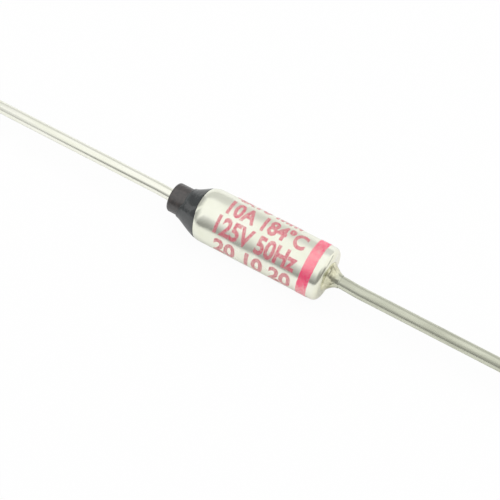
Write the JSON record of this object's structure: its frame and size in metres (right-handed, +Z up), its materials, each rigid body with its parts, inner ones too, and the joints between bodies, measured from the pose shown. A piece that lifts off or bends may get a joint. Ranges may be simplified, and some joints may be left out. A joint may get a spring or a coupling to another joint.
{
  "type": "thermal fuse",
  "caption": "Axial pellet thermal fuse: a bright metal case with a rolled mouth, a black resin seal and tube, a red ink band and a straight wire lead at each end.",
  "frame": {"origin": "on the axis, halfway along the metal case", "axes": "+X along the axis towards the case lead, +Z up"},
  "size_m": [0.0525, 0.004, 0.004],
  "materials": {
    "case_plating": "bright plated brass, slightly warm",
    "tinned_wire": "tinned copper wire, drawn",
    "solder": "flowed solder, uneven gloss",
    "silvered_wire": "silver-plated copper wire, drawn",
    "white_ceramic": "sintered, unglazed",
    "black_tube": "satin moulded sleeve",
    "black_resin": "cast epoxy, soft gloss",
    "pressed_pellet": "pressed organic powder, waxy",
    "disc_brass": "stamped",
    "spring_steel": "drawn spring wire",
    "contact_silver": "stamped silver-faced sheet",
    "red_ink": "thin printed ink over plated metal"
  },
  "bodies": {
    "root": {"metal_case": "case_plating", "case_lead": "tinned_wire", "solder_fillet": "solder", "isolated_lead": "silvered_wire", "ceramic_bushing": "white_ceramic", "insulating_tube": "black_tube", "resin_seal": "black_resin", "thermal_pellet": "pressed_pellet", "pellet_disc": "disc_brass", "main_spring": "spring_steel", "spring_disc": "disc_brass", "star_contact": "contact_silver", "trip_spring": "spring_steel", "marking_band": "red_ink"}
  },
  "joints": []
}
